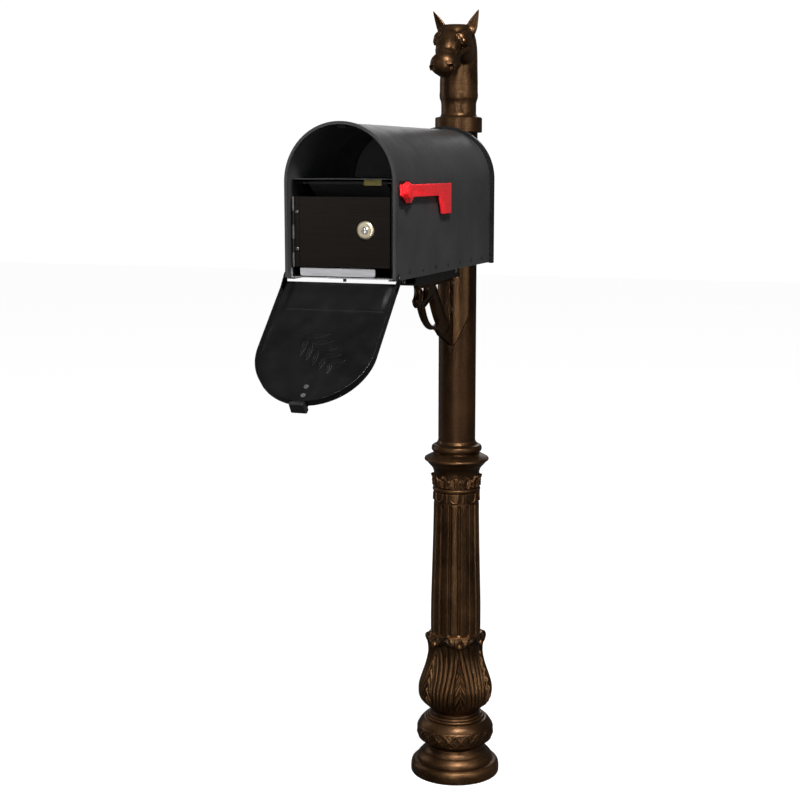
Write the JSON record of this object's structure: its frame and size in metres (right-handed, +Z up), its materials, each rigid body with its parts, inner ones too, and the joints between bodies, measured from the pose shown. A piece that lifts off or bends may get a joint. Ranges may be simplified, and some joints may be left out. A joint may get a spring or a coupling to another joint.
{
  "type": "post-mounted mailbox",
  "caption": "Rural mailbox with a locking insert and a red signal flag, carried by a scroll bracket on an ornamental cast post with a horse head finial.",
  "frame": {"origin": "centre of the anchor plate's underside, on the ground under the post axis", "axes": "+Z up the post, -Y the way the mailbox faces, +X the side that carries the flag"},
  "size_m": [0.2088, 0.9011, 1.5726],
  "materials": {
    "bronze_casting": "satin",
    "bronze_alloy": "satin",
    "bronze_tube": "satin",
    "black_steel": "satin",
    "black_sheet": "satin",
    "brushed_black": "gloss",
    "dark_hardware": "satin",
    "black_rivet": "satin",
    "bright_rivet": "satin",
    "red_plastic": "gloss",
    "black_plastic": "matte",
    "lock_brass": "satin",
    "lock_nickel": "satin",
    "bare_zinc": "satin",
    "yellow_zinc": "satin"
  },
  "bodies": {
    "post": {"anchor_plate": "black_steel", "post_pipe": "bronze_tube", "base_foot": "bronze_casting", "base_torus": "bronze_casting", "acanthus_vase": "bronze_casting", "fluted_column": "bronze_casting", "capital_band": "bronze_casting", "cap_ring": "bronze_casting", "cap_ring_screw": "dark_hardware", "finial_collar": "bronze_alloy", "collar_screw": "dark_hardware", "horse_head": "bronze_alloy", "bracket_saddle": "bronze_alloy", "saddle_bolt_upper": "dark_hardware", "saddle_nut_upper": "dark_hardware", "saddle_bolt_lower": "dark_hardware", "saddle_nut_lower": "dark_hardware", "support_arm": "black_steel", "mounting_plate": "black_steel", "plate_bolt_1": "dark_hardware", "plate_bolt_2": "dark_hardware", "plate_bolt_3": "dark_hardware", "plate_bolt_4": "dark_hardware", "scroll_brace": "bronze_alloy", "body_shell": "black_sheet", "rear_panel": "black_sheet", "floor_pan": "bare_zinc", "floor_rivets_left": "black_rivet", "floor_rivets_right": "black_rivet", "catch_spring": "dark_hardware", "door_pivot_left": "dark_hardware", "door_pivot_right": "dark_hardware", "flag_mount": "black_sheet", "flag_pivot_bolt": "dark_hardware", "flag_nut": "dark_hardware", "insert_chassis": "black_sheet", "insert_top_plate": "black_sheet", "insert_back_plate": "black_sheet", "insert_sill": "bare_zinc", "insert_clip": "yellow_zinc", "hinge_frame_leaf": "dark_hardware", "hinge_pin": "dark_hardware", "baffle_rod": "dark_hardware"},
    "mailbox_door": {"door_panel": "black_sheet", "door_latch_tab": "black_plastic", "door_rivet_inner": "bright_rivet", "door_rivet_outer": "bright_rivet"},
    "flag_arm": {"flag": "red_plastic"},
    "insert_lid": {"insert_door": "brushed_black", "hinge_door_leaf": "brushed_black", "insert_screw_lower": "dark_hardware", "insert_screw_upper": "dark_hardware", "lock_body": "lock_brass", "lock_nut": "dark_hardware"},
    "lock_core": {"lock_plug": "lock_nickel", "lock_cam": "dark_hardware"},
    "baffle_flap": {"insert_baffle": "black_sheet"}
  },
  "joints": [
    {"name": "door_swing", "type": "hinge", "parent": "post", "child": "mailbox_door", "pos_m": [0, -0.618, 1.09], "axis": [1, 0, 0], "range_deg": [-135, 0]},
    {"name": "flag_turn", "type": "hinge", "parent": "post", "child": "flag_arm", "pos_m": [0.1, -0.588, 1.23], "axis": [1, 0, 0], "range_deg": [0, 90]},
    {"name": "insert_door_swing", "type": "hinge", "parent": "post", "child": "insert_lid", "pos_m": [-0.0879, -0.6134, 1.16], "axis": [0, 0, -1], "range_deg": [0, 95]},
    {"name": "lock_turn", "type": "hinge", "parent": "insert_lid", "child": "lock_core", "pos_m": [0.0396, -0.611, 1.166], "axis": [0, -1, 0], "range_deg": [-90, 0]},
    {"name": "baffle_tilt", "type": "hinge", "parent": "post", "child": "baffle_flap", "pos_m": [0, -0.565, 1.242], "axis": [1, 0, 0], "range_deg": [0, 30]}
  ]
}
